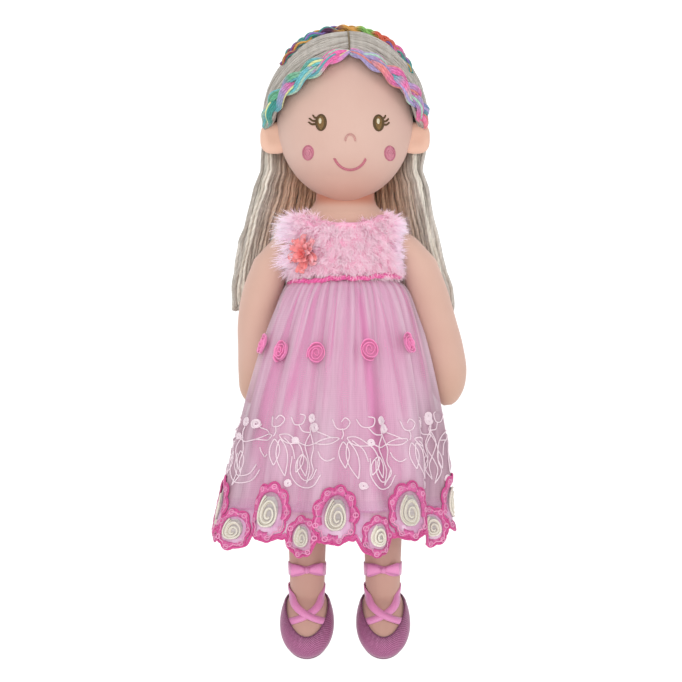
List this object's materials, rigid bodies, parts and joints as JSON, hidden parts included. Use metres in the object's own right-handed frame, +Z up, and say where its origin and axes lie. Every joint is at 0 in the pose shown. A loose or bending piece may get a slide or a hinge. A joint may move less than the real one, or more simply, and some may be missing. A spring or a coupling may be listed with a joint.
{
  "type": "rag doll",
  "caption": "Stuffed cloth doll with yarn hair, braids, fur bodice, net skirt with lace hem and tied slippers; head, arms and legs turn at their seams.",
  "frame": {"origin": "middle of the waist, where the hand or a stand holds the doll", "axes": "+Z up along the body, -Y out of the face, +X to the doll's left"},
  "size_m": [0.2036, 0.1633, 0.4979],
  "materials": {
    "skin_knit": "brushed knit",
    "polyester_fibre": "loose white fibre",
    "ash_yarn": "matt acrylic yarn",
    "parting_thread": "matt thread",
    "dyed_yarn": "matt yarn in many colours",
    "brown_thread": "satin stitch",
    "rose_thread": "satin stitch",
    "pink_fur_cloth": "short pile",
    "satin_cord": "twisted satin",
    "satin_lining": "satin weave",
    "tulle": "fine net",
    "lace": "embroidered net",
    "rose_ribbon": "folded satin ribbon",
    "coral_ribbon": "looped satin ribbon",
    "metallic_weave": "twill with a metallic thread",
    "sole_cloth": "plain weave",
    "satin_ribbon": "satin ribbon"
  },
  "bodies": {
    "torso": {"torso_skin": "skin_knit", "torso_stuffing": "polyester_fibre", "neck": "skin_knit", "bodice": "pink_fur_cloth", "waist_cord": "satin_cord", "underskirt": "satin_lining", "tulle_skirt": "tulle", "lace_border": "lace", "rosette_1": "rose_ribbon", "rosette_2": "rose_ribbon", "rosette_3": "rose_ribbon", "rosette_4": "rose_ribbon", "rosette_5": "rose_ribbon", "rosette_6": "rose_ribbon", "rosette_7": "rose_ribbon", "rosette_8": "rose_ribbon", "rosette_9": "rose_ribbon", "rosette_10": "rose_ribbon", "flower_petals": "coral_ribbon", "flower_heart": "coral_ribbon"},
    "head": {"head_skin": "skin_knit", "head_stuffing": "polyester_fibre", "ear_left": "skin_knit", "ear_right": "skin_knit", "hair_cap_left": "ash_yarn", "hair_cap_right": "ash_yarn", "parting_seam": "parting_thread", "hair_fall_left": "ash_yarn", "hair_fall_right": "ash_yarn", "hair_fall_back": "ash_yarn", "front_braid_left": "dyed_yarn", "front_braid_right": "dyed_yarn", "crown_braid": "dyed_yarn", "eye_left": "brown_thread", "eye_right": "brown_thread", "cheek_left": "rose_thread", "cheek_right": "rose_thread", "nose": "rose_thread", "mouth": "rose_thread"},
    "left_arm": {"arm_skin_left": "skin_knit", "arm_stuffing_left": "polyester_fibre"},
    "right_arm": {"arm_skin_right": "skin_knit", "arm_stuffing_right": "polyester_fibre"},
    "left_leg": {"leg_skin_left": "skin_knit", "leg_stuffing_left": "polyester_fibre", "shoe_upper_left": "metallic_weave", "shoe_sole_left": "sole_cloth", "instep_ribbon_left": "satin_ribbon", "calf_ribbon_left": "satin_ribbon"},
    "right_leg": {"leg_skin_right": "skin_knit", "leg_stuffing_right": "polyester_fibre", "shoe_upper_right": "metallic_weave", "shoe_sole_right": "sole_cloth", "instep_ribbon_right": "satin_ribbon", "calf_ribbon_right": "satin_ribbon"}
  },
  "joints": [
    {"name": "head_nod", "type": "hinge", "parent": "torso", "child": "head", "pos_m": [0, 0, 0.057], "axis": [1, 0, 0], "range_deg": [-15, 30], "stiffness_Nm_per_rad": 0.3, "deforming": ["neck", "hair_fall_left", "hair_fall_right", "hair_fall_back"]},
    {"name": "left_shoulder", "type": "hinge", "parent": "torso", "child": "left_arm", "pos_m": [0.0539, 0, 0.026], "axis": [0, -1, 0], "range_deg": [0, 105]},
    {"name": "right_shoulder", "type": "hinge", "parent": "torso", "child": "right_arm", "pos_m": [-0.0539, 0, 0.026], "axis": [0, 1, 0], "range_deg": [0, 105]},
    {"name": "left_hip", "type": "hinge", "parent": "torso", "child": "left_leg", "pos_m": [0.02992, 0, -0.1123], "axis": [-1, 0, 0], "range_deg": [-15, 90], "deforming": ["underskirt", "tulle_skirt", "lace_border"]},
    {"name": "right_hip", "type": "hinge", "parent": "torso", "child": "right_leg", "pos_m": [-0.02992, 0, -0.1123], "axis": [-1, 0, 0], "range_deg": [-15, 90]}
  ],
  "couplings": [
    {"joint": "right_hip", "follows": "left_hip", "ratio": 1}
  ]
}
